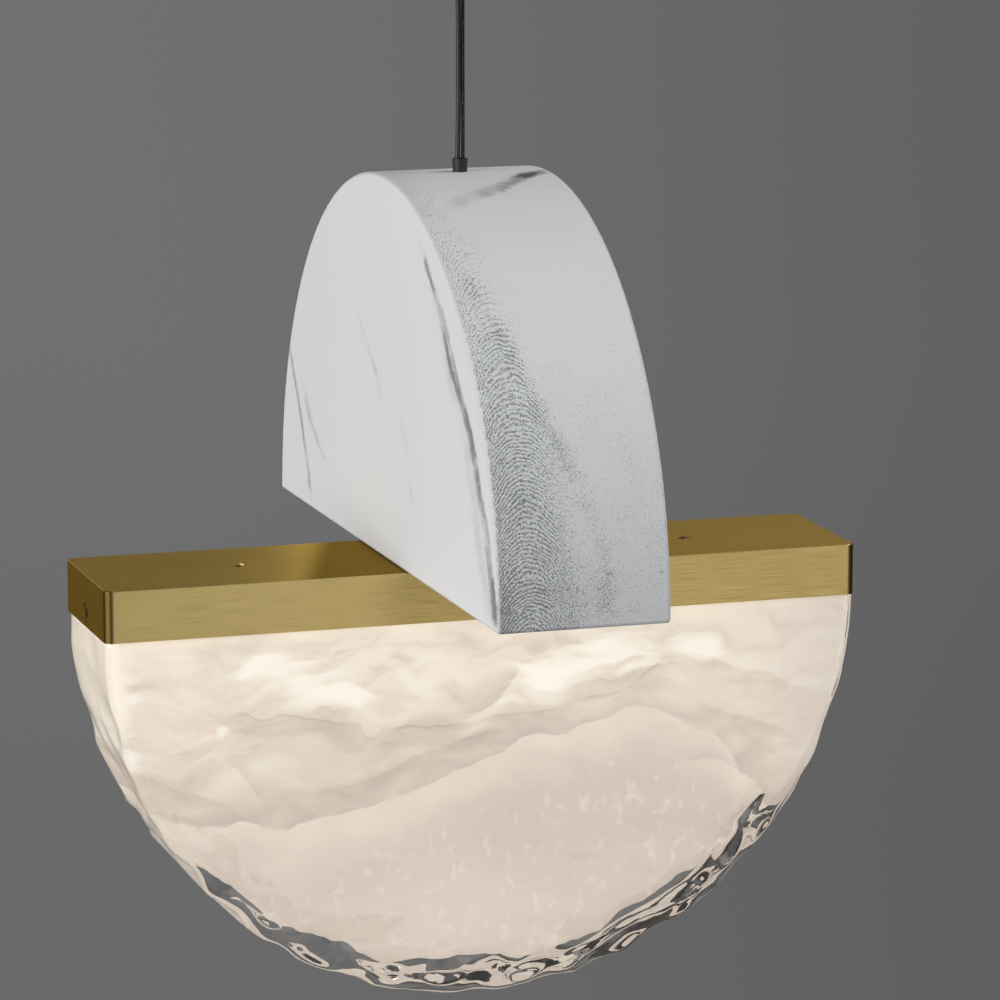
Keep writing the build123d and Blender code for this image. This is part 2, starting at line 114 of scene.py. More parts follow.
def lineAt(points, value):  # the same drawn line, for the meshes
    points = sorted(points)
    if value <= points[0][0]:
        return points[0][1]
    for (a, b), (c, d) in zip(points, points[1:]):
        if value <= c:
            return b + (d - b) * (value - a) / (c - a)
    return points[-1][1]


def eased(value, start, end):  # 0 up to start, 1 from end on
    share = min(1.0, max(0.0, (value - start) / (end - start)))
    return share * share * (3 - 2 * share)


def newPiece(name, mesh, material, body):
    piece = bpy.data.objects.new(name, mesh)
    bpy.context.scene.collection.objects.link(piece)
    piece.data.materials.append(material)
    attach(piece, body)
    return piece


def meshFrom(name, draft, smooth=True):
    mesh = bpy.data.meshes.new(name)
    draft.to_mesh(mesh)
    draft.free()
    if smooth:
        mesh.shade_smooth()
    return mesh


# camera and light
photoView = {
    "camera": (-552.5, -1789.6, 117.5),  # mm from the ceiling point over the lamp
    "turn": 17.59,  # degrees to the right of straight ahead
    "dip": 10.92,
    "lens": 177.6, "sensor": 36,  # mm
}


def makeCamera():
    turn, dip = math.radians(photoView["turn"]), math.radians(photoView["dip"])
    looking = Vector((math.sin(turn) * math.cos(dip), math.cos(turn) * math.cos(dip), -math.sin(dip)))
    camera = bpy.data.objects.new("camera", bpy.data.cameras.new("camera"))
    bpy.context.scene.collection.objects.link(camera)
    camera.location = Vector(photoView["camera"]) * mm
    camera.rotation_euler = looking.to_track_quat("-Z", "Y").to_euler()
    camera.data.lens = photoView["lens"]
    camera.data.sensor_width = photoView["sensor"]
    bpy.context.scene.camera = camera
    bpy.context.scene.view_settings.view_transform = "Standard"


softLights = [  # place and aim in metres, size in metres, watts
    {"name": "keyPanel", "at": (-2.45, -0.85, 0.3), "size": (2.0, 2.0), "power": 66},
    {"name": "frontPanel", "at": (1.1, -2.9, -0.5), "size": (1.8, 1.8), "power": 11},
    {"name": "rightPanel", "at": (2.0, -0.35, 1.4), "size": (1.4, 1.4), "power": 38},
]
aim = Vector((0, 0, -0.27))  # the bar's middle


def makeLights():
    for settings in softLights:
        lamp = bpy.data.lights.new(settings["name"], "AREA")
        lamp.shape = "RECTANGLE"
        lamp.size, lamp.size_y = settings["size"]
        lamp.energy = settings["power"]
        holder = bpy.data.objects.new(settings["name"], lamp)
        bpy.context.scene.collection.objects.link(holder)
        holder.location = settings["at"]
        holder.rotation_euler = (aim - holder.location).to_track_quat("-Z", "Y").to_euler()


backdrop = {  # the ranges are heights, or ways to the right, on a ray of length one
    "top": "#707070", "foot": "#6a6a6a", "topRight": "#606060", "footRight": "#5d5d5d",
    "toRight": (0.22, 0.44), "toTop": (-0.26, -0.15),
    "above": "#7c7c7c", "toAbove": (0.0, 0.35),
    "room": "#262626", "toCeiling": (0.15, 0.35), "toGround": (-0.4, -0.6),
    "light": "#7c7d7f",
}


def makeWorld():  # grey behind the object, darker where glass shows the room's top and foot, paler light on it
    world = bpy.data.worlds.new("studio")
    bpy.context.scene.world = world
    world.use_nodes = True
    world.node_tree.nodes.clear()
    add = partial(addNode, world.node_tree)
    right, _, up = add("SeparateXYZ", [add("TexCoord").outputs["Generated"]]).outputs
    across = add("MapRange", [right, *backdrop["toRight"]], **softly)
    upper, overhead, ceiling, ground = (add("MapRange", [up, *backdrop[span]], **softly)
                                        for span in ("toTop", "toAbove", "toCeiling", "toGround"))
    top = add("Mix", {0: across, 6: backdrop["top"], 7: backdrop["topRight"]}, data_type="RGBA")
    foot = add("Mix", {0: across, 6: backdrop["foot"], 7: backdrop["footRight"]}, data_type="RGBA")
    grey = add("Mix", {0: upper, 6: foot, 7: top}, data_type="RGBA")
    mirrored = add("Mix", {0: overhead, 6: grey, 7: backdrop["above"]}, data_type="RGBA")
    steep = add("Math", [ceiling, ground], operation="MAXIMUM")
    through = add("Mix", {0: steep, 6: grey, 7: backdrop["room"]}, data_type="RGBA")
    rays, colour = add("LightPath").outputs, backdrop["light"]
    for ray, shown in (("Is Glossy Ray", mirrored), ("Is Transmission Ray", through), ("Is Camera Ray", grey)):
        colour = add("Mix", {0: rays[ray], 6: colour, 7: shown}, data_type="RGBA")
    add("OutputWorld", [add("Background", {"Color": colour, "Strength": 1.0})])


floorPlace = {
    "below": 2.5, "radius": 1.1,  # metres
    "corners": 96, "colour": "#8b8b8a", "cloud": "#9a9a98", "cloudSize": 220, "cloudShare": 0.15,
}


def makeFloor():  # a matt disc, out of the picture
    material, add = startMaterial("paleStudioFloor")
    cloud = grain(add, placeInMm(add), floorPlace["cloudSize"], 3)
    share = add("MapRange", [cloud, *middling, 0, floorPlace["cloudShare"]], **softly)
    colour = add("Mix", {0: share, 6: floorPlace["colour"], 7: floorPlace["cloud"]}, data_type="RGBA")
    add("OutputMaterial", [add("BsdfPrincipled", {"Base Color": colour, "Roughness": 0.8})])
    draft = bmesh.new()
    bmesh.ops.create_circle(draft, cap_ends=True, radius=floorPlace["radius"], segments=floorPlace["corners"])
    floor = bpy.data.objects.new("studioFloor", meshFrom("studioFloor", draft, smooth=False))
    bpy.context.scene.collection.objects.link(floor)
    floor.location.z = -floorPlace["below"]
    floor.data.materials.append(material)


makeCamera()
makeLights()
makeWorld()
makeFloor()
print("stage: camera, light and floor")


# rope and cable
ropeLooks = {
    "route": [(0, 0, -125), (0, 0, -104), (0, 0, -82), (0, 0, -60), (0, 0, -34.5)],
    "strands": 6,  # round one more in the middle
    "strandRadius": 0.27,
    "layRadius": 0.47,
    "pitch": 7.5,  # mm for one turn of a strand
    "radius": 0.75,
    "rings": 220, "sides": 7,
    "black": "#2b2b2c", "bright": "#7c7d7f", "wornSize": 0.5, "wornFrom": (0.5, 0.75), "roughness": 0.36,
}
cableLooks = {
    "route": [(-2.15, 0, -125), (-2.15, 0, -111), (-1.72, 0, -89), (-1.72, 0, -47), (-2.85, 0, -36),
              (-2.85, 0, -31.6)],
    "radius": 0.95,
    "dust": "#3f3f3f", "dustShare": 0.25, "dustSize": 1.2, "roughness": 0.42, "ior": 1.53,
}


def smoothLine(name, route):  # one open NURBS line through a given route
    curve = bpy.data.curves.new(name, "CURVE")
    curve.dimensions = "3D"
    curve.resolution_u = 24
    spline = curve.splines.new("NURBS")
    spline.points.add(len(route) - 1)
    for point, (x, y, z) in zip(spline.points, route):
        point.co = (x * mm, y * mm, z * mm, 1)
    spline.order_u = 3
    spline.use_endpoint_u = True
    return curve


def pointsOn(curve):  # what the line's own evaluation gives
    holder = bpy.data.objects.new(curve.name + "Reader", curve)
    bpy.context.scene.collection.objects.link(holder)
    read = bpy.data.meshes.new_from_object(holder)
    points = [vertex.co.copy() for vertex in read.vertices]
    bpy.data.objects.remove(holder)
    bpy.data.meshes.remove(read)
    return points


def makeRope(material):
    looks = ropeLooks
    line = smoothLine("ropeLine", looks["route"])
    path = pointsOn(line)
    reach = sum((b - a).length for a, b in zip(path, path[1:]))
    rings, sides, draft = looks["rings"], looks["sides"], bmesh.new()
    ways = [Vector((math.cos(math.tau * s / sides), math.sin(math.tau * s / sides), 0)) for s in range(sides)]
    for strand in range(looks["strands"] + 1):
        before = None
        for n in range(rings + 1):
            spot = path[0].lerp(path[-1], n / rings)  # the rope hangs straight
            angle = math.tau * (strand / looks["strands"] + reach * n / rings / (looks["pitch"] * mm))
            out = looks["layRadius"] * mm if strand < looks["strands"] else 0.0
            middle = spot + Vector((math.cos(angle), math.sin(angle), 0)) * out
            ring = [draft.verts.new(middle + way * looks["strandRadius"] * mm) for way in ways]
            if before:
                for s in range(sides):
                    draft.faces.new((before[s], before[(s + 1) % sides], ring[(s + 1) % sides], ring[s]))
            else:
                draft.faces.new(reversed(ring))
            before = ring
        draft.faces.new(before)
    rope = newPiece("wireRope", meshFrom("wireRope", draft), material, "lamp")
    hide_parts("suspension_rope")
    bpy.data.curves.remove(line)


def makeCable(material):
    looks = cableLooks
    line = smoothLine("powerCable", looks["route"])
    line.bevel_depth = looks["radius"] * mm
    line.bevel_resolution = 6
    cable = newPiece("pvcCable", line, material, "lamp")
    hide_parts("power_cable")


def blackenedSteel():  # galvanised wire rope, blackened: dark, with bright worn crowns
    looks = ropeLooks
    material, add = startMaterial("blackenedSteelRope")
    wearAndPaintedShade = add("MapRange", [grain(add, placeInMm(add), looks["wornSize"], 2), *looks["wornFrom"]], **softly)
    colour = add("Mix", {0: wearAndPaintedShade, 6: looks["black"], 7: looks["bright"]}, data_type="RGBA")
    add("OutputMaterial", [add("BsdfPrincipled", {"Base Color": colour, "Metallic": 1.0,
                                                  "Roughness": looks["roughness"]})])
    return material


def pvcJacket(name, colour):  # extruded soft PVC: smooth, a little waxy, a trace of dust
    looks = cableLooks
    material, add = startMaterial(name)
    cloud = grain(add, placeInMm(add), looks["dustSize"], 2, (1, 1, 6))
    dusty = add("MapRange", [cloud, *middling, 0, looks["dustShare"]], **softly)
    colour = add("Mix", {0: dusty, 6: colour, 7: looks["dust"]}, data_type="RGBA")
    relief = add("Bump", {"Height": cloud, "Strength": 0.15, "Distance": 0.05 * mm})
    add("OutputMaterial", [add("BsdfPrincipled", {"Base Color": colour, "Roughness": looks["roughness"],
                                                  "IOR": looks["ior"], "Normal": relief})])
    return material


makeRope(blackenedSteel())
blackPvc = pvcJacket("blackPvcJacket", "#141414")
makeCable(blackPvc)
print("stage: rope and cable")


# marble
marbleLooks = {
    "white": "#dedfe0", "shade": "#c9cccd", "lilac": "#a9a5ab", "dark": "#4d4b50", "roughness": 0.55,
    "faceVeins": [  # z and y in mm on the left face, half width, strength
        {"line": [(-262, -144.2), (-248.7, -141.5), (-228.4, -133.1), (-208.6, -121.1), (-198.7, -115.1),
                  (-186, -102.9), (-170.1, -86.9), (-153.5, -74.4), (-143.9, -63.1), (-134.1, -52.9)],
         "half": 3.2, "strength": 1.0, "wander": 1.8},
        {"line": [(-262, -146.0), (-240, -141.5), (-215, -128), (-198, -118), (-184, -105), (-168, -91), (-150, -75)],
         "half": 2.2, "strength": 0.85, "wander": 1.4},
        {"line": [(-262, -138), (-230, -125), (-205, -112), (-186, -97), (-168, -82), (-150, -69)],
         "half": 6.5, "strength": 0.38, "wander": 4.0},
        {"line": [(-260.7, 102.1), (-247, 107), (-233.9, 113.6), (-215.2, 125.3), (-198.2, 135.7)],
         "half": 2.3, "strength": 0.85, "wander": 2.5},
        {"line": [(-244, 70), (-240.4, 80.6), (-234, 92), (-227.9, 102.7), (-214, 112)],
         "half": 3.4, "strength": 0.6, "wander": 4.0},
        {"line": [(-204, -3), (-192.5, 8), (-182, 21), (-172.8, 32.7)],
         "half": 3.2, "strength": 0.42, "wander": 4.0},
        {"line": [(-218, -35), (-211, -31), (-205, -28)], "half": 3.2, "strength": 0.6, "wander": 3.0},
        {"line": [(-237, -44), (-232, -41), (-226, -38)], "half": 2.0, "strength": 0.5, "wander": 2.0},
    ],
    "bandEdge": [(-264, -2), (-252, -3), (-234, -4), (-217, -7), (-200, -10), (-184, -13), (-167, -16), (-151, -19),
                 (-136, -22), (-121, -27)],  # z and x in mm: how far the grey band reaches over the rim
    "rimVein": [(-262, 9), (-253.6, 8), (-245, 7.5), (-225, 3.5), (-208, -1), (-187, -11), (-173, -16), (-157, -21),
                (-141, -26)],
    "rimHalf": 3.6, "rimStrength": 0.30, "rimWander": 3.0,
    # x and y in mm
    "crownVein": [(-18, -44), (-8, -37), (0, -31), (7, -27), (14, -20), (20, -14), (26, -10), (33, -7)],
    "crownHalf": 4.6, "crownStrength": 1.3, "crownWander": 4.0,
    "rimInk": "#5f6265", "faceInk": "#67636a",
    # sizes in mm of the noises that bend the veins, fray them, grain them and break them into patches
    "driftSize": 26, "jitterSize": 3.2, "gritSize": 0.5, "patchSize": 17,
    # places in mm where each side's own veins fade in
    "toFace": (-31.0, -32.6), "toRim": (-32.6, -31.4), "toFront": (-8, -30), "toCrown": (-128, -121),
    "toRight": (31, 33), "toBack": (20, 60),
    # the band on the rim: its frayed edge, its depth from the crown down, the arched ridges in it
    "bandFray": (-12, 10), "bandWander": 14.0, "bandDepth": (-125, -215, 0.26, 0.47), "footDark": (-225, -262, 0, 0.3),
    "footReach": (-22, -32), "looseGrains": (-135, -235, 0.05, 0.17),
    "ridgePitch": 1.65, "ridgeMiddle": -20.0, "ridgeBow": 0.07, "ridgeWander": 12.0, "ridgeFray": 1.8,
    "veinSize": 95, "veinPatch": 60, "veinShown": (0.45, 0.62), "veinWide": 0.025, "veinThin": 0.002,
    "veinCore": 0.1, "veinSoft": 1.6,  # in half widths: where a vein begins to fade, where it has gone
    "veinBegins": (-3, 6), "veinEnds": (-10, 4),  # mm before and past a vein's own end
    "patchRange": (0.35, 0.62), "patchShare": 0.6, "grainRange": (0.33, 0.67), "inkRange": (0.0, 0.45),
    "arris": 0.35, "arrisLean": (0.1, 0.35), "arrisEnd": (0.995, 0.93),  # painted shade on the eased edges: how strong, where
}


def whiteMarble():  # honed calacatta-like stone: satin white, grey veins made of fine dark grains
    looks = marbleLooks
    material, add = startMaterial("honedWhiteMarble")
    place = placeInMm(add)
    x, y, z = add("SeparateXYZ", [place]).outputs
    drift = add("Math", [grain(add, place, looks["driftSize"], 4), 0.5], operation="SUBTRACT")
    jitter = add("Math", [grain(add, place, looks["jitterSize"], 3), 0.5], operation="SUBTRACT")
    # drawn coarser than the stone's own grains, so that they show
    grit = add("MapRange", [grain(add, place, looks["gritSize"], 2), *looks["grainRange"]], **softly)
    patch = add("MapRange", [grain(add, place, looks["patchSize"], 3), *looks["patchRange"]], **softly)

    def veinMask(along, across, points, half, strength, wander):  # 1 in a vein's middle, 0 beside it
        bent = add("Math", [drift, wander * 2], operation="MULTIPLY")
        offset = add("Math", [across, curveThrough(add, along, points)], operation="SUBTRACT")
        offset = add("Math", [offset, bent], operation="ADD")
        core, soft = half * looks["veinCore"], half * looks["veinSoft"]
        offset = add("Math", [offset, add("Math", [jitter, soft], operation="MULTIPLY")], operation="ADD")
        far = add("Math", [offset], operation="ABSOLUTE")
        line = add("MapRange", [far, core, soft, 1, 0], **softly)
        begins = [min(points)[0] + step for step in looks["veinBegins"]]
        ends = [max(points)[0] + step for step in looks["veinEnds"]]
        span = add("Math", [add("MapRange", [along, *begins], **softly),
                            add("MapRange", [along, *ends, 1, 0], **softly)], operation="MULTIPLY")
        line = add("Math", [line, span], operation="MULTIPLY")
        line = add("Math", [line, strength], operation="MULTIPLY")
        share = looks["patchShare"]
        broken = add("Math", [patch, share, 1 - share], operation="MULTIPLY_ADD")
        return add("Math", [line, broken], operation="MULTIPLY")

    def inked(density):  # dark grains, denser where the vein is
        return add("MapRange", [add("Math", [density, grit], operation="SUBTRACT"), *looks["inkRange"]], **softly)

    onFace = add("MapRange", [x, *looks["toFace"]], **softly)
    veins = 0.0
    for vein in looks["faceVeins"]:
        mask = veinMask(z, y, vein["line"], vein["half"], vein["strength"], vein["wander"])
        veins = add("Math", [veins, mask], operation="ADD")
    veins = add("Math", [veins, onFace], operation="MULTIPLY")

    # the front's rim: a band of grains in fine arched lines, as a fingerprint has
    rim = add("MapRange", [x, *looks["toRim"]], **softly)
    frontRim = add("Math", [add("MapRange", [y, *looks["toFront"]], **softly), rim], operation="MULTIPLY")
    wandering = add("Math", [drift, looks["bandWander"], curveThrough(add, z, looks["bandEdge"])],
                    operation="MULTIPLY_ADD")
    inside = add("Math", [x, wandering], operation="SUBTRACT")
    band = add("MapRange", [inside, *looks["bandFray"], 1, 0], **softly)
    bow = add("Math", [add("Math", [x, -looks["ridgeMiddle"]], operation="ADD"), 2.0], operation="POWER")
    arch = add("Math", [add("Math", [bow, looks["ridgeBow"], z], operation="MULTIPLY_ADD"),
                        add("Math", [drift, looks["ridgeWander"]], operation="MULTIPLY")], operation="ADD")
    arch = add("Math", [jitter, looks["ridgeFray"], arch], operation="MULTIPLY_ADD")
    phase = add("Math", [arch, math.tau / looks["ridgePitch"]], operation="MULTIPLY")
    ridges = add("Math", [add("Math", [phase], operation="SINE"), 0.5, 0.5], operation="MULTIPLY_ADD")
    sparse = add("Math", [patch, 0.10, add("MapRange", [z, *looks["looseGrains"]], **softly)],
                 operation="MULTIPLY_ADD")
    second = veinMask(z, x, looks["rimVein"], looks["rimHalf"], looks["rimStrength"], looks["rimWander"])
    density = add("Math", [band, add("MapRange", [z, *looks["bandDepth"]], **softly),
                           add("Math", [sparse, second], operation="ADD")], operation="MULTIPLY_ADD")
    foot = add("Math", [add("MapRange", [x, *looks["footReach"]], **softly),
                        add("MapRange", [z, *looks["footDark"]], **softly)], operation="MULTIPLY")
    density = add("Math", [add("Math", [density, foot], operation="ADD"),
                           add("Math", [ridges, 1.0, 0.45], operation="MULTIPLY_ADD")], operation="MULTIPLY")
    rimInk = add("Math", [inked(density), frontRim], operation="MULTIPLY")

    crown = veinMask(x, y, looks["crownVein"], looks["crownHalf"], looks["crownStrength"], looks["crownWander"])
    crown = add("Math", [crown, add("MapRange", [z, *looks["toCrown"]], **softly)], operation="MULTIPLY")
    crown = add("Math", [crown, add("MapRange", [x, -16, 22, 0.25, 1], **softly)], operation="MULTIPLY")

    # faint wandering veins through the whole block, for the sides that the drawn ones don't reach
    loose = grain(add, place, looks["veinSize"], 5, (1, 0.5, 1.5), (0.7, 0.3, 0.2))
    spread = add("MapRange", [grain(add, place, looks["veinPatch"], 2), *looks["veinShown"]], **softly)
    away = add("Math", [add("Math", [loose, 0.5], operation="SUBTRACT")], operation="ABSOLUTE")
    wide = add("Math", [spread, looks["veinWide"], looks["veinThin"]], operation="MULTIPLY_ADD")
    deep = add("Math", [add("MapRange", [away, 0.0, wide, 1, 0], **softly), spread], operation="MULTIPLY")
    onBack = add("Math", [add("MapRange", [y, *looks["toBack"]], **softly), rim], operation="MULTIPLY")
    elsewhere = add("Math", [add("MapRange", [x, *looks["toRight"]], **softly), onBack], operation="MAXIMUM")
    deep = add("Math", [add("Math", [deep, elsewhere], operation="MULTIPLY"), 0.7], operation="MULTIPLY")

    allVeins = add("Math", [veins, deep], operation="ADD")
    # painted shade on the eased edges, found by how far the normal leans
    lean = add("Math", [add("SeparateXYZ", [add("NewGeometry").outputs["Normal"]])], operation="ABSOLUTE")
    arris = add("Math", [add("MapRange", [lean, *looks["arrisLean"]], **softly),
                         add("MapRange", [lean, *looks["arrisEnd"]], **softly)], operation="MULTIPLY")
    base = looks["white"]
    for share, ink in (
        (add("Math", [rim, 0.10, 0.12], operation="MULTIPLY_ADD"), looks["shade"]),
        (add("Math", [rimInk, 0.85], operation="MULTIPLY"), looks["rimInk"]),
        (add("Math", [allVeins, 0.35], operation="MULTIPLY", use_clamp=True), looks["lilac"]),
        (add("Math", [inked(allVeins), 0.8], operation="MULTIPLY"), looks["faceInk"]),
        (add("Math", [crown, add("Math", [grit, -0.3, 1.0], operation="MULTIPLY_ADD")], operation="MULTIPLY",
             use_clamp=True), looks["dark"]),
        (add("Math", [arris, looks["arris"]], operation="MULTIPLY"), looks["lilac"]),
    ):
        base = add("Mix", {0: share, 6: base, 7: ink}, data_type="RGBA")
    relief = add("Bump", {"Height": grit, "Strength": 0.06, "Distance": 0.05 * mm})
    add("OutputMaterial", [add("BsdfPrincipled", {"Base Color": base, "Roughness": looks["roughness"], "IOR": 1.5,
                                                  "Normal": relief})])
    return material


def dress(node, material):
    for slot in frame["nodes"][node].material_slots:
        slot.material = material


dress("marble_half_disc", whiteMarble())
print("stage: marble")


# brass
brassLooks = {
    "base": "#e6cc88", "deep": "#cfb26d", "atEdge": "#dfb550", "roughness": 0.45, "roughSpread": (-0.03, 0.04),
    "hairLength": 18, "hairWidth": 0.3, "hairShare": 0.65, "cloudSize": 45, "cloudShare": 0.35, "drawn": 0.6,
    "seamAndCornerShade": "#6a572f", "seamAt": (179.6, 180.5),  # a dark seam line and painted shade over the folded upright corners, by x and y added up in mm
    "paintedShadeRightTop": 0.6, "toRight": (20, 70),  # painted shade: the top's right half darker
    "paintedLightLeftFront": 0.45, "toLeft": (-60, -10),  # painted light on the front's left half, and painted shade on the left end, from x in mm
    "shaded": "#8d7c4e", "shadedTo": (66, 54), "shadedLean": 0.35,  # painted shade on the top beside the stone
}


def brushedBrass():  # satin-lacquered sheet: fine hairlines along its length
    looks = brassLooks
    material, add = startMaterial("brushedBrass")
    place = placeInMm(add)
    facing, _, up = add("SeparateXYZ", [add("TexCoord").outputs["Normal"]]).outputs
    x, y, _ = add("SeparateXYZ", [place]).outputs
    sideways, deep = (add("Math", [part], operation="ABSOLUTE") for part in (x, y))
    atEnd = add("MapRange", [add("Math", [facing], operation="ABSOLUTE"), 0.6, 0.8], **softly)
    onTop = add("MapRange", [up, 0.6, 0.9], **softly)
    # dark seam and painted shade on the rounded upright corners, where a highlight would show
    seamAndCornerShade = add("MapRange", [add("Math", [sideways, deep], operation="ADD"), *looks["seamAt"]], **softly)
    # painted shade on the top's right half
    wearAndPaintedShade = add("Math", [onTop, add("MapRange", [x, *looks["toRight"], 0, looks["paintedShadeRightTop"]], **softly)],
               operation="MULTIPLY")
    # painted shade on the top around the stone's foot, on both sides
    paintedShadeBesideStone = add("Math", [y, looks["shadedLean"], sideways], operation="MULTIPLY_ADD")
    paintedShadeBesideStone = add("Math", [add("MapRange", [paintedShadeBesideStone, *looks["shadedTo"]], **softly), onTop], operation="MULTIPLY")
    # painted light on the front's left half, painted shade on the left end face where the sign turns
    paintedLightAndShadeLeft = add("Math", [add("MapRange", [up, 0.3, 0.6, 1, 0], **softly),
                        add("MapRange", [x, *looks["toLeft"], looks["paintedLightLeftFront"], 0], **softly)],
               operation="MULTIPLY")
    paintedLightAndShadeLeft = add("Math", [paintedLightAndShadeLeft, add("MapRange", [atEnd, 0, 1, 1, -1], **softly)], operation="MULTIPLY")
    long, fine = looks["hairLength"], looks["hairWidth"]
    along = grain(add, place, 1.0, 3, (long, fine, fine))
    upEnd = grain(add, place, 1.0, 3, (fine, long * 0.5, fine))
    hair = add("Mix", {0: atEnd, 6: along, 7: upEnd}, data_type="RGBA")
    cloud = grain(add, place, looks["cloudSize"], 3)
    tone = add("Math", [add("MapRange", [hair, 0.32, 0.68, 0.0, looks["hairShare"]], **softly),
                        add("MapRange", [cloud, *middling, 0.0, looks["cloudShare"]], **softly)], operation="ADD")
    tone = add("Math", [add("Math", [tone, wearAndPaintedShade], operation="ADD"), paintedLightAndShadeLeft], operation="SUBTRACT", use_clamp=True)
    colour = looks["base"]
    for share, other in ((tone, "deep"), (paintedShadeBesideStone, "shaded"), (seamAndCornerShade, "seamAndCornerShade")):
        colour = add("Mix", {0: share, 6: colour, 7: looks[other]}, data_type="RGBA")
    rough = [looks["roughness"] + step for step in looks["roughSpread"]]
    # the way across the hairlines, which is upright on the bar's sides
    across = add("CombineXYZ", {1: add("MapRange", [atEnd, 0, 1, 0.7, 0], **softly), 2: 0.7})
    across = add("VectorTransform", [across], vector_type="VECTOR", convert_from="OBJECT", convert_to="WORLD")
    add("OutputMaterial", [add("BsdfPrincipled", {
        "Base Color": colour, "Metallic": 1.0, "Roughness": add("MapRange", [hair, *middling, *rough], **softly),
        "Specular Tint": looks["atEdge"], "Anisotropic": looks["drawn"], "Tangent": across,
        "Normal": add("Bump", {"Height": hair, "Strength": 0.05, "Distance": 0.02 * mm})})])
    return material


def turnedMetal(name, colour, dark, roughness, size=0.4):  # lathe or die finish: faint fine rings and clouds
    material, add = startMaterial(name)
    place = placeInMm(add)
    cloud = grain(add, place, size * 6, 3)
    lines = grain(add, place, size, 2, (1, 1, 0.25))
    tone = add("Math", [add("MapRange", [lines, *middling], **softly), 0.4,
                        add("MapRange", [cloud, *middling, 0, 0.4], **softly)], operation="MULTIPLY_ADD")
    rough = add("MapRange", [cloud, *middling, roughness - 0.05, roughness + 0.05], **softly)
    add("OutputMaterial", [add("BsdfPrincipled", {
        "Base Color": add("Mix", {0: tone, 6: colour, 7: dark}, data_type="RGBA"), "Metallic": 1.0,
        "Roughness": rough, "Normal": add("Bump", {"Height": lines, "Strength": 0.08, "Distance": 0.03 * mm})})])
    return material


def mouldedPlastic(name, colour, roughness, ior):  # injection moulded: faint orange peel
    material, add = startMaterial(name)
    place = placeInMm(add)
    peel = grain(add, place, 0.8, 3)
    deeper = tuple(c * 0.8 for c in linear(colour)[:3]) + (1,)
    share = add("MapRange", [grain(add, place, 12, 2), *middling, 0, 0.25], **softly)
    rough = add("MapRange", [peel, *middling, roughness - 0.05, roughness + 0.05], **softly)
    add("OutputMaterial", [add("BsdfPrincipled", {
        "Base Color": add("Mix", {0: share, 6: colour, 7: deeper}, data_type="RGBA"), "Roughness": rough,
        "IOR": ior, "Normal": add("Bump", {"Height": peel, "Strength": 0.10, "Distance": 0.04 * mm})})])
    return material


brass = brushedBrass()
brassScrew = turnedMetal("turnedBrassScrew", "#a98c4b", "#7c6430", 0.3)
turnedBrass = turnedMetal("turnedBrass", "#d2b064", "#a3833f", 0.28)
zincSteel = turnedMetal("zincPlatedSteel", "#b9bcc0", "#8f9398", 0.35, 0.8)
stainless = turnedMetal("stainlessSteel", "#b4b4b6", "#8c8c8f", 0.3)
aluminium = turnedMetal("millAluminium", "#c9cacd", "#a4a6aa", 0.38, 0.6)
blackNylon = mouldedPlastic("blackNylon", "#161616", 0.5, 1.53)
whiteShell = mouldedPlastic("whitePolycarbonate", "#dededa", 0.45, 1.58)
naturalNylon = mouldedPlastic("naturalNylon", "#dcd8c8", 0.5, 1.53)
clearSilicone = mouldedPlastic("milkySilicone", "#d8d8d4", 0.6, 1.41)
blackSilicone = mouldedPlastic("blackSilicone", "#1a1a1a", 0.7, 1.41)
solderMask = mouldedPlastic("whiteSolderMask", "#ebebe6", 0.4, 1.55)
opalAcrylic = mouldedPlastic("opalAcrylic", "#f2efe6", 0.3, 1.49)
brownWire = pvcJacket("brownPvcWire", "#5a3524")


def phosphor():  # yellow silicone phosphor over the light chips, lit
    material, add = startMaterial("ledPhosphor")
    speck = add("MapRange", [grain(add, placeInMm(add), 0.3, 2), *middling], **softly)
    colour = add("Mix", {0: speck, 6: "#f4d27a", 7: "#ffe9b8"}, data_type="RGBA")
    add("OutputMaterial", [add("BsdfPrincipled", {"Base Color": colour, "Roughness": 0.5, "IOR": 1.41,
                                                  "Emission Color": colour, "Emission Strength": 1.0})])
    return material


finishes = {
    "bar_cover": brass, "canopy_cup": brass, "canopy_ring_nut": turnedBrass, "ball_seat": turnedBrass,
    "rope_ball": stainless, "top_screws": brassScrew, "end_screws": brassScrew, "marble_inserts": turnedBrass,
    "marble_bolts": stainless, "bolt_washers": stainless, "ferrule_washer": stainless, "board_screws": stainless,
    "inner_tray": aluminium, "rope_ferrule": aluminium, "ceiling_bracket": zincSteel,
    "suspension_nipple": zincSteel, "nipple_lock_nuts": zincSteel, "led_driver": whiteShell,
    "terminal_block": naturalNylon, "splice_connector": naturalNylon, "marble_gland": blackNylon,
    "cable_grommet": blackSilicone, "screw_sleeves": clearSilicone, "neck_gasket": clearSilicone,
    "led_board_left": solderMask, "led_board_right": solderMask, "led_chips": phosphor(),
    "led_lens_left": opalAcrylic, "led_lens_right": opalAcrylic, "driver_leads": brownWire,
    "board_leads": brownWire, "canopy_cable": blackPvc, "cable_in_marble": blackPvc,
    "rope_in_marble": blackenedSteel(),
}
for node, material in finishes.items():
    dress(node, material)
print("stage: metal and plastic finishes")


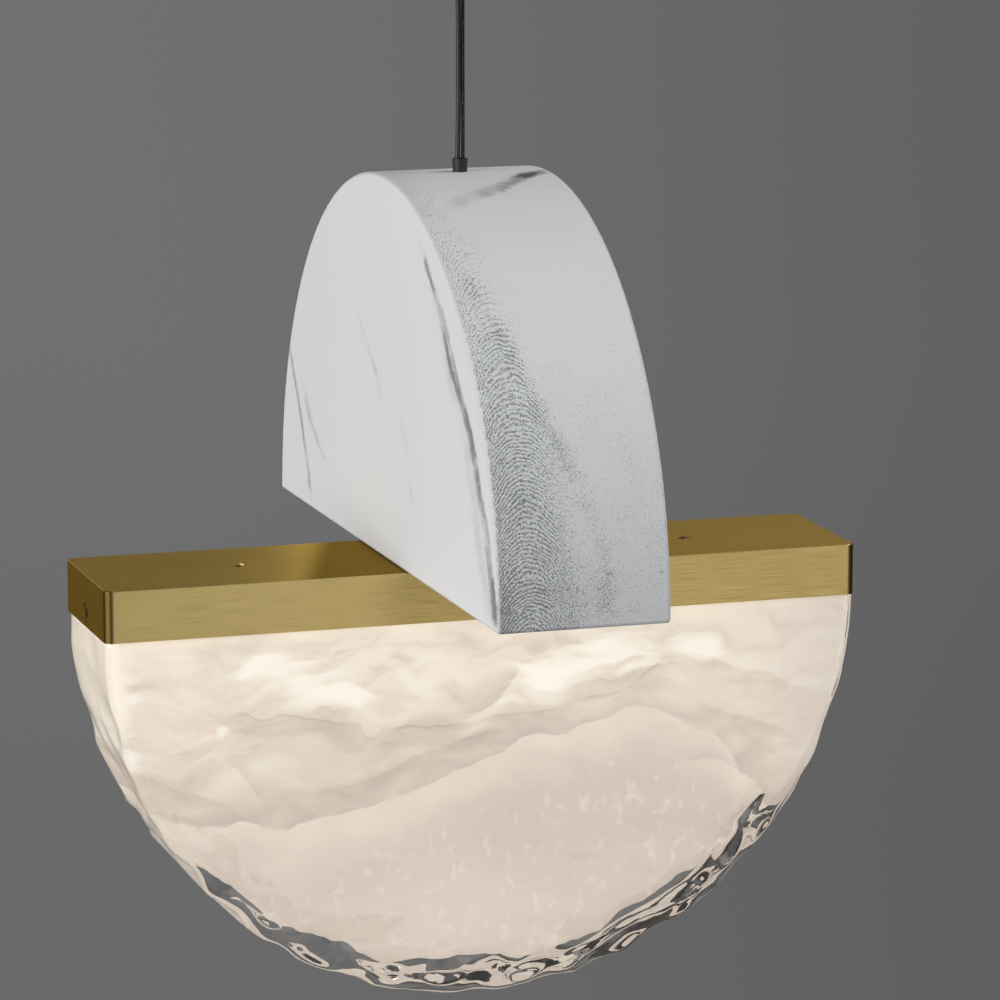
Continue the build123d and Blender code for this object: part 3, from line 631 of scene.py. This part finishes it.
# glass half disc: a clear wavy skin over a lit milky body with soft folds
glassLooks = {
    "skinRadius": 149.0, "halfThickness": 32.6,
    # degrees round from the right end, and how round the skin's edge is there
    "skinEdge": [(0, 3), (16, 3.5), (28, 6), (40, 7.5), (75, 8.5), (100, 7), (120, 4.5), (146, 3.2), (155, 4.5),
                 (180, 3.5)],
    "milkHalf": 31.4, "milkEdge": 4.0,
    # the same for how far out the milky body reaches
    "milkRadius": [(0, 147.4), (27, 147.4), (32.5, 144.5), (35, 137.0), (37.8, 134.6), (43.4, 133.2), (50.6, 136.4),
                   (52.8, 134.0), (61.3, 133.6), (65.8, 132.2), (69.7, 136.0), (75.8, 135.0), (84.2, 137.0),
                   (87.7, 133.6), (95.9, 134.2), (102.1, 135.8), (107.2, 140.7), (115.1, 136.6), (119.4, 138.2),
                   (123.5, 140.0), (127.5, 142.9), (131.9, 140.2), (136.6, 141.5), (140.1, 142.6), (144.5, 143.4),
                   (149, 146.6), (153, 147.4), (180, 147.4)],
    "steps": 300, "spokes": 92, "crowding": 0.85, "across": 34, "roundSteps": 10,
    # size in mm and height in mm of the skin's waves, facets and dents, and of the milky body's
    "faceWaves": [(34, 1.7, 0.35), (15, 5.2, 0.25)], "faceDents": [(27, 8.4, 3.4), (14, 3.1, 0.4)],
    "rimFacets": [(22, 2.9, 5.6), (12, 6.1, 1.1)], "rimWave": (42, 9.3, 0.8), "rimDeepest": 0.6, "rimFloor": 0.2,
    "foldWobble": 1.2, "foldHeight": 1.9, "upperHeight": 0.6, "sunk": -2.6,
    "foldLine": [(-150, -338), (-145, -342), (-139.5, -345.3), (-131.4, -351), (-120.3, -355.7), (-104, -358.6),
                 (-97.7, -356.7), (-87.9, -360.2), (-81, -361.6), (-74.5, -359.3), (-54.8, -356.2), (-38.5, -352.3),
                 (-21.7, -347.3), (-9.6, -342.3), (5.3, -337.7), (19, -331.4), (30.7, -332.0), (38.5, -328.5),
                 (47.8, -327.2), (54.4, -324.1), (61.3, -323), (71.6, -326.1), (81.9, -332.4), (90.6, -335.9),
                 (97, -341), (103, -350.8), (111.6, -358.3), (116, -367), (124, -376), (150, -384)],
    "upperLine": [(-125.5, -310), (-112, -312.5), (-103.6, -314.0), (-97.3, -314.5), (-88.7, -317.8), (-82.4, -316.2),
                  (-71.1, -318.2), (-62.8, -320.7), (-51.6, -322.2), (-48.3, -327.3), (-45.1, -328.1), (-41.7, -324.0),
                  (-25.2, -324.9), (-9.2, -324.6), (5.3, -322.5), (20.9, -322.4), (32.5, -319.8), (46.4, -317.4),
                  (55.7, -315.8), (62.7, -310.7), (72.0, -304.5), (80, -297)],
    # thin sheets of white glass lying over one another, their edges drawn with painted light above each line and
    # painted shade below it
    "layerEdgesLitAndShaded": [
        {"line": [(-145.9, -331.3), (-134.2, -336), (-121.4, -342.9), (-110.7, -346.4), (-102, -350.9),
                  (-95.6, -355.7)], "lift": 0.10, "drop": 0.22, "reach": 7},
        {"line": [(-106.2, -331.1), (-102.9, -333.5), (-97.6, -338.2), (-92.2, -346.2), (-86.0, -354.2)],
         "lift": -0.30, "drop": -0.05, "reach": 12},
        {"line": [(-71.5, -341.6), (-62.8, -346), (-47.4, -343.5), (-30.7, -337), (-9.6, -330.9), (6, -327)],
         "lift": 0.10, "drop": 0.26, "reach": 9},
        {"line": [(-107.9, -289.6), (-97.1, -293.6), (-91.7, -295.6), (-80, -298.4)],
         "lift": 0.2, "drop": -0.30, "reach": 5},
        {"line": [(-69, -297.1), (-62.4, -295.4), (-58, -292.5), (-36.1, -290.7), (-21.7, -291.2)],
         "lift": 0.15, "drop": 0.22, "reach": 5},
        {"line": [(-58.2, -314.1), (-51.6, -311.3), (-46, -306), (-36.1, -301.3), (-26.8, -298.6), (-16.2, -289.9)],
         "lift": -0.15, "drop": -0.25, "reach": 9},
        {"line": [(-12, -324), (2.4, -317.7), (9.3, -310.3), (16.2, -302.9), (20.8, -301), (32.4, -301.2),
                  (46, -302.9)], "lift": -0.12, "drop": -0.42, "reach": 9},
        {"line": [(77.9, -302.6), (84.9, -304.3), (93.2, -306), (102.7, -311.2), (114.6, -313.1), (126.6, -319.7),
                  (138.6, -321.1)], "lift": 0.28, "drop": 0.22, "reach": 8},
        {"line": [(84, -322), (92, -325.5), (102.9, -329.5), (114.8, -333.8), (124.4, -337.9), (130.5, -345.3)],
         "lift": 0.12, "drop": 0.18, "reach": 8},
    ],
    "step": [(70, -347), (80.6, -346.7), (85.3, -346.2), (92.4, -347), (98.3, -349.2), (104.3, -353.1)],
    "brightSpots": [  # x and z, half width and half height in mm, share of white; the tall one at x -146 is the left end's glow and painted highlight
        (-84, -299, 22, 6.5, 0.95), (-62, -310, 20, 6, 0.6), (-105, -321, 2.6, 2.4, 0.9), (39, -305, 30, 9, 1.0),
        (48, -301.5, 8, 4, 0.7), (85, -300.3, 13, 7, 0.9), (-121, -291, 14, 2.5, 0.6), (20, -313, 24, 7, 0.5),
        (-44, -304, 32, 10, 0.55), (-146, -312, 9, 40, 0.8), (50, -300, 20, 7, 0.6),
    ],
    "white": "#fff9ec", "cream": "#f0e2d0", "veil": "#ddccba", "shade": "#bfaca0", "lilac": "#c6b9b4",
    "plateau": "#d5c6b8", "foot": "#e3d4c5", "crest": "#eee0d0", "fleck": "#f3ede8", "glow": "#fff1da",
    "leftEndGlowAndHighlight": "#fff1dc", "rightEnd": "#d6cbc3", "strength": 0.70, "dulled": 0.6, "unlit": "#7c7c7c",
    # sizes in mm of the noises: two that fray the drawn lines, the swirls, streaks, broad streaks and wisps
    "waver": 9, "fray": 2.5, "swirl": 38, "swirlReach": 34, "streak": 6, "broad": 15, "wisp": 13,
    "fleckSize": 9.5, "fleckPatch": 5.0, "cord": 9,
    # places in mm where something fades in
    "toGlow": (glassTop - 72, glassTop - 8), "toBar": (glassTop - 5.5, glassTop - 1.5), "toFoot": (-430, -350),
    "toUpperLeft": (-110, -92), "toUpperRight": (84, 66), "toStep": (70, 84), "toRightEnd": (98, 140, 0, 0.5),
    "toLeftEnd": (-139, -146, 0, 0.8),
}


def ripple(x, y, z, size, seed):  # noise from -1 to 1, size in mm
    return noise.noise(Vector((x / size + seed, y / size - seed, z / size + seed * 0.5)))


def belowLevel(angle):  # degrees below the bar's line, whichever end
    return math.degrees(min(angle, math.pi - angle))


def glassBody(name, radiusAt, half, edgeAt, faceLift, rimLift):
    # spokes of the half disc, each running from the front's middle round the rim to the back's middle
    looks = glassLooks
    draft, rings = bmesh.new(), []
    quarter, spokes, roundSteps = math.pi / 2, looks["spokes"], looks["roundSteps"]
    for n in range(looks["steps"] + 1):
        angle = math.pi * n / looks["steps"]
        radius, edge = radiusAt(angle), edgeAt(angle)
        flat = radius - edge
        path = [(flat * (k / spokes) ** looks["crowding"], -half, 0.0) for k in range(spokes)]
        path += [(flat + edge * math.sin(t), -half + edge - edge * math.cos(t), t)
                 for t in (quarter * k / roundSteps for k in range(roundSteps))]
        path += [(radius, -half + edge + (2 * half - 2 * edge) * k / looks["across"], quarter)
                 for k in range(looks["across"])]
        path += [(flat + edge * math.sin(t), half - edge - edge * math.cos(t), t)
                 for t in (quarter + quarter * k / roundSteps for k in range(roundSteps))]
        path += [(flat * (k / spokes) ** looks["crowding"], half, math.pi) for k in range(spokes, -1, -1)]
        ring = []
        for rho, across, lean in path:
            x, z = rho * math.cos(angle), glassTop - rho * math.sin(angle)
            out = rho + rimLift(x, across, z, angle) * math.sin(lean)
            deep = across - faceLift(x, across, z) * math.cos(lean)
            place = (out * math.cos(angle) * mm, deep * mm, (glassTop - out * math.sin(angle)) * mm)
            ring.append(draft.verts.new(place))
        rings.append(ring)
    for before, after in zip(rings, rings[1:]):
        for a, b, c, d in zip(before, before[1:], after[1:], after):
            draft.faces.new((a, b, c, d))
    draft.faces.new(rings[0][::-1])
    draft.faces.new(rings[-1])
    bmesh.ops.remove_doubles(draft, verts=draft.verts, dist=1e-7)
    bmesh.ops.dissolve_degenerate(draft, edges=draft.edges, dist=1e-8)
    bmesh.ops.recalc_face_normals(draft, faces=draft.faces)
    return meshFrom(name, draft)


def milkRadiusAt(angle):  # the drawn line, jagged where it is low
    jag = 0.9 * noise.noise(Vector((angle * 34, 7.7, 0)))
    return lineAt(glassLooks["milkRadius"], math.degrees(angle)) + jag * eased(belowLevel(angle), 28, 36)


def skinEdgeAt(angle):
    return lineAt(glassLooks["skinEdge"], math.degrees(angle))


def skinRise(x, y, z):  # how far the clear skin's faces stand out: soft waves, dents that run along the rim
    low = eased(-z, 330, 400)
    out, along = math.hypot(x, z - glassTop), 148 * math.atan2(glassTop - z, x)
    nearRim = eased(out, 128, 139) * low
    (size, seed, high), (fineSize, fineSeed, fineHigh) = glassLooks["faceWaves"]
    soft = high * ripple(x, y * 0.3, z, size, seed)
    soft += fineHigh * ripple(x, y * 0.3, z, fineSize, fineSeed) * (0.4 + low)
    (size, seed, high), (fineSize, fineSeed, fineHigh) = glassLooks["faceDents"]
    dents = high * abs(ripple(along, out * 2.4, y * 0.3, size, seed))
    dents += fineHigh * abs(ripple(along, out * 2, y, fineSize, fineSeed))
    return min(0.15, soft - 0.15 - dents * nearRim)


def skinSwell(x, y, z, angle):  # how far its rim stands out: facets that fade towards the bar
    (size, seed, high), (fineSize, fineSeed, fineHigh) = glassLooks["rimFacets"]
    facets = abs(ripple(x, y * 0.7, z, size, seed)) * high
    facets += abs(ripple(x, y * 0.6, z, fineSize, fineSeed)) * fineHigh
    size, seed, high = glassLooks["rimWave"]
    slow = high * ripple(x, y * 0.6, z, size, seed)
    share = glassLooks["rimFloor"] + (1 - glassLooks["rimFloor"]) * eased(belowLevel(angle), 4, 30)
    most = glassLooks["rimDeepest"]
    return most - (most - min(most, 1.3 - facets + slow)) * share


def milkRise(x, y, z):  # the milky body's face: lower under the fold, with a second step at the upper line
    looks = glassLooks
    wobble = looks["foldWobble"] * ripple(x, y * 0.2, z, 9, 4.4)
    fold = eased(z - lineAt(looks["foldLine"], x) + wobble, -1.6, 1.8)
    upper = eased(z - lineAt(looks["upperLine"], x) + wobble * 0.6, -0.9, 1.1)
    upper = upper * eased(x, -128, -112) * eased(-x, -80, -60)
    tilt = x * 0.30 + z
    streak = ripple(x * 0.35, y * 0.4, tilt * 1.6, 17, 2.2) * 0.5
    streak += ripple(x * 0.5, y * 0.5, tilt * 2.0, 8, 6.6) * 0.22
    return (looks["sunk"] + looks["foldHeight"] * fold + looks["upperHeight"] * upper
            + streak * (0.25 + 0.75 * fold))


def milkSwell(x, y, z, angle):
    return 0.5 * ripple(x, y, z, 14, 3.3) - 0.4


def clearGlass():  # cast soda-lime glass, fire polished: clear and wet looking
    material, add = startMaterial("clearCastGlass")
    cord = grain(add, placeInMm(add), glassLooks["cord"], 1)
    relief = add("Bump", {"Height": cord, "Strength": 0.06, "Distance": 0.1 * mm})
    add("OutputMaterial", [add("BsdfPrincipled", {"Base Color": "#fbfbfa", "Roughness": 0.015, "IOR": 1.5,
                                                  "Transmission Weight": 1.0, "Normal": relief})])
    return material


def milkyGlass():  # white cased glass lit from inside: cream glow, lilac grey where the layered glass lies double, and painted shade and light along its folds
    looks = glassLooks
    material, add = startMaterial("litMilkyGlass")
    place = placeInMm(add)
    x, y, z = add("SeparateXYZ", [place]).outputs

    wander = add("Math", [grain(add, place, looks["waver"], 4, (1, 4, 1)), 0.5], operation="SUBTRACT")
    fine = add("Math", [grain(add, place, looks["fray"], 3, (1, 4, 1)), 0.5], operation="SUBTRACT")
    bentBy = add("Math", [wander, 3.2, add("Math", [fine, 1.2], operation="MULTIPLY")], operation="MULTIPLY_ADD")
    shifted = add("Math", [z, bentBy], operation="ADD")
    aboveFold, aboveUpper, aboveStep = (
        add("Math", [shifted, curveThrough(add, x, looks[line])], operation="SUBTRACT")
        for line in ("foldLine", "upperLine", "step"))

    # flow of the glass: streaks bent by slow swirls
    swirl = add("TexNoise", {"Vector": place, "Scale": 1 / looks["swirl"], "Detail": 2.0}).outputs["Color"]
    bent = add("VectorMath", [swirl, (0.5, 0.5, 0.5)], operation="SUBTRACT")
    bent = add("VectorMath", [bent, (looks["swirlReach"], 0, looks["swirlReach"]), place], operation="MULTIPLY_ADD")
    streaks = grain(add, bent, looks["streak"], 5, (4.0, 3, 1), (0, 0.30, 0))
    broad = grain(add, bent, looks["broad"], 4, (2.4, 3, 1), (0, 0.34, 0))
    wisps = add("Math", [grain(add, bent, looks["wisp"], 3, (3.2, 3, 1), (0, 0.5, 0)), 0.5], operation="SUBTRACT")
    wisps = add("MapRange", [add("Math", [wisps], operation="ABSOLUTE"), 0.0, 0.035, 1, 0], **softly)
    broken = add("MapRange", [broad, 0.35, 0.6, 1.0, 0.35], **softly)

    # tone: above nought towards white, below it towards grey
    tone = add("Math", [add("MapRange", [streaks, *middling, -0.20, 0.22], **softly),
                        add("MapRange", [broad, 0.32, 0.68, -0.22, 0.28], **softly)], operation="ADD")
    wisps = add("Math", [wisps, add("MapRange", [broad, 0.4, 0.6, -0.11, -0.02], **softly)], operation="MULTIPLY")
    tone = add("Math", [tone, wisps], operation="ADD")
    # each sheet's edge: painted light on its upper side, painted shade on its lower side
    for layer in looks["layerEdgesLitAndShaded"]:
        above = add("Math", [shifted, curveThrough(add, x, layer["line"])], operation="SUBTRACT")
        first, last, reach = min(layer["line"])[0], max(layer["line"])[0], layer["reach"]
        span = add("Math", [add("MapRange", [x, first - 2, first + 7], **softly),
                            add("MapRange", [x, last + 2, last - 7], **softly)], operation="MULTIPLY")
        lit = add("Math", [add("MapRange", [above, -0.5, 0.7], **softly),
                           add("MapRange", [above, 0.5, reach, layer["lift"], 0], **softly)],
                  operation="MULTIPLY")
        dim = add("Math", [add("MapRange", [above, 0.5, -0.5], **softly),
                           add("MapRange", [above, -0.5, -reach, layer["drop"], 0], **softly)],
                  operation="MULTIPLY")
        tone = add("Math", [add("Math", [lit, dim], operation="SUBTRACT"), span, tone], operation="MULTIPLY_ADD")
    # painted shade in a band under the upper fold line, and a thin painted dark line along it
    inUpper = add("Math", [add("MapRange", [x, *looks["toUpperLeft"]], **softly),
                           add("MapRange", [x, *looks["toUpperRight"]], **softly)], operation="MULTIPLY")
    paintedShadeUnderUpper = add("Math", [add("MapRange", [aboveUpper, 0.4, -0.6], **softly), inUpper], operation="MULTIPLY")
    paintedShadeUnderUpper = add("Math", [paintedShadeUnderUpper, add("MapRange", [aboveUpper, -18, -1, 0.0, 0.22], **softly)], operation="MULTIPLY")
    tone = add("Math", [tone, paintedShadeUnderUpper], operation="SUBTRACT")
    line = add("MapRange", [add("Math", [aboveUpper], operation="ABSOLUTE"), 0.1, 0.8, 0.45, 0], **softly)
    line = add("Math", [add("Math", [line, inUpper], operation="MULTIPLY"), broken], operation="MULTIPLY")
    tone = add("Math", [tone, line], operation="SUBTRACT")
    frayed = add("MapRange", [streaks, 0.36, 0.64, 0.6, -0.4], **softly)
    for cx, cz, wide, high, share in looks["brightSpots"]:
        dx = add("Math", [add("Math", [x, cx], operation="SUBTRACT"), 1 / wide], operation="MULTIPLY")
        dz = add("Math", [add("Math", [shifted, cz], operation="SUBTRACT"), 1 / high], operation="MULTIPLY")
        far = add("Math", [dx, dx, add("Math", [dz, dz], operation="MULTIPLY")], operation="MULTIPLY_ADD")
        far = add("Math", [far, frayed], operation="ADD")
        tone = add("Math", [tone, add("MapRange", [far, 0.0, 1.3, share, 0], **softly)], operation="ADD")
    # painted shade in the veil just above the fold, fading upwards
    tone = add("Math", [tone, add("MapRange", [aboveFold, 0, 34, 0.22, 0], **softly)], operation="SUBTRACT")

    # the veil above the fold
    glow = add("MapRange", [z, *looks["toGlow"]], **softly)
    # painted shade, lilac, along the fold's rolled edge
    paintedFoldShade = add("Math", [add("MapRange", [aboveFold, 0, 11, 0.42, 0], **softly),
                       add("MapRange", [aboveFold, 0.3, 3.0, 0.3, 0], **softly)], operation="ADD")
    paintedFoldShade = add("Math", [paintedFoldShade, broken], operation="MULTIPLY")
    atBar = add("Math", [add("MapRange", [z, *looks["toBar"]], **softly),
                         add("MapRange", [broad, 0.4, 0.6, 0.4, 1], **softly)], operation="MULTIPLY")
    paler = add("Math", [tone, 1.0], operation="MULTIPLY", use_clamp=True)
    greyer = add("Math", [tone, -1.0], operation="MULTIPLY", use_clamp=True)
    atRight = add("MapRange", [x, *looks["toRightEnd"]], **softly)
    colour = looks["veil"]
    for share, paint in ((glow, "cream"), (paler, "white"), (greyer, "shade"), (paintedFoldShade, "lilac"), (atBar, "glow"),
                         (atRight, "rightEnd")):
        colour = add("Mix", {0: share, 6: colour, 7: looks[paint]}, data_type="RGBA")

    # the pale field under it, with flecks
    # painted shade, lilac, above the step's line
    paintedShadeOnStep = add("Math", [add("MapRange", [x, *looks["toStep"]], **softly),
                          add("MapRange", [aboveStep, -0.4, 0.4], **softly)], operation="MULTIPLY")
    paintedShadeOnStep = add("Math", [paintedShadeOnStep, add("MapRange", [aboveStep, 0, 9, 0.45, 0], **softly)], operation="MULTIPLY")
    stroke = add("Math", [grain(add, place, looks["fleckSize"], 1, (1, 3, 1)), 0.5], operation="SUBTRACT")
    stroke = add("MapRange", [add("Math", [stroke], operation="ABSOLUTE"), 0.0, 0.10, 1, 0], **softly)
    patches = grain(add, place, looks["fleckPatch"], 1, (1, 3, 1.6), (0, 1.1, 0))
    flecks = add("Math", [stroke, add("MapRange", [patches, 0.50, 0.68, 0, 0.42], **softly)], operation="MULTIPLY")
    flecks = add("Math", [flecks, add("MapRange", [aboveFold, -26, -10, 1, 0.15], **softly)], operation="MULTIPLY")
    offFoot = add("MapRange", [z, *looks["toFoot"]], **softly)
    # painted light: the field paler towards the fold's edge above it
    paintedLightNearFold = add("MapRange", [aboveFold, -26, -0.5, 0, 0.9], **softly)
    clouded = add("MapRange", [broad, 0.4, 0.7, 0, 0.22], **softly)
    low = looks["foot"]
    for share, paint in ((offFoot, "plateau"), (paintedLightNearFold, "crest"), (paintedShadeOnStep, "lilac"), (flecks, "fleck"),
                         (clouded, "shade")):
        low = add("Mix", {0: share, 6: low, 7: looks[paint]}, data_type="RGBA")

    colour = add("Mix", {0: add("MapRange", [aboveFold, -0.5, 0.5], **softly), 6: low, 7: colour}, data_type="RGBA")
    # the left end painted paler: its glow and painted highlights
    leftEndGlowShare = add("MapRange", [x, *looks["toLeftEnd"]], **softly)
    colour = add("Mix", {0: leftEndGlowShare, 6: colour, 7: looks["leftEndGlowAndHighlight"]}, data_type="RGBA")
    dull = add("Mix", {0: looks["dulled"], 6: colour, 7: looks["unlit"]}, data_type="RGBA")
    add("OutputMaterial", [add("BsdfPrincipled", {"Base Color": dull, "Roughness": 0.55, "Emission Color": colour,
                                                  "Emission Strength": looks["strength"]})])
    return material


skin = newPiece("glassSkin", glassBody("glassSkin", lambda angle: glassLooks["skinRadius"],
                                       glassLooks["halfThickness"], skinEdgeAt, skinRise, skinSwell),
                clearGlass(), "lamp")
milk = newPiece("glassMilkyBody", glassBody("glassMilkyBody", milkRadiusAt, glassLooks["milkHalf"],
                                            lambda angle: glassLooks["milkEdge"], milkRise, milkSwell),
                milkyGlass(), "lamp")
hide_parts("glass_shade")
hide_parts("glass_shade")
print("stage: glass")
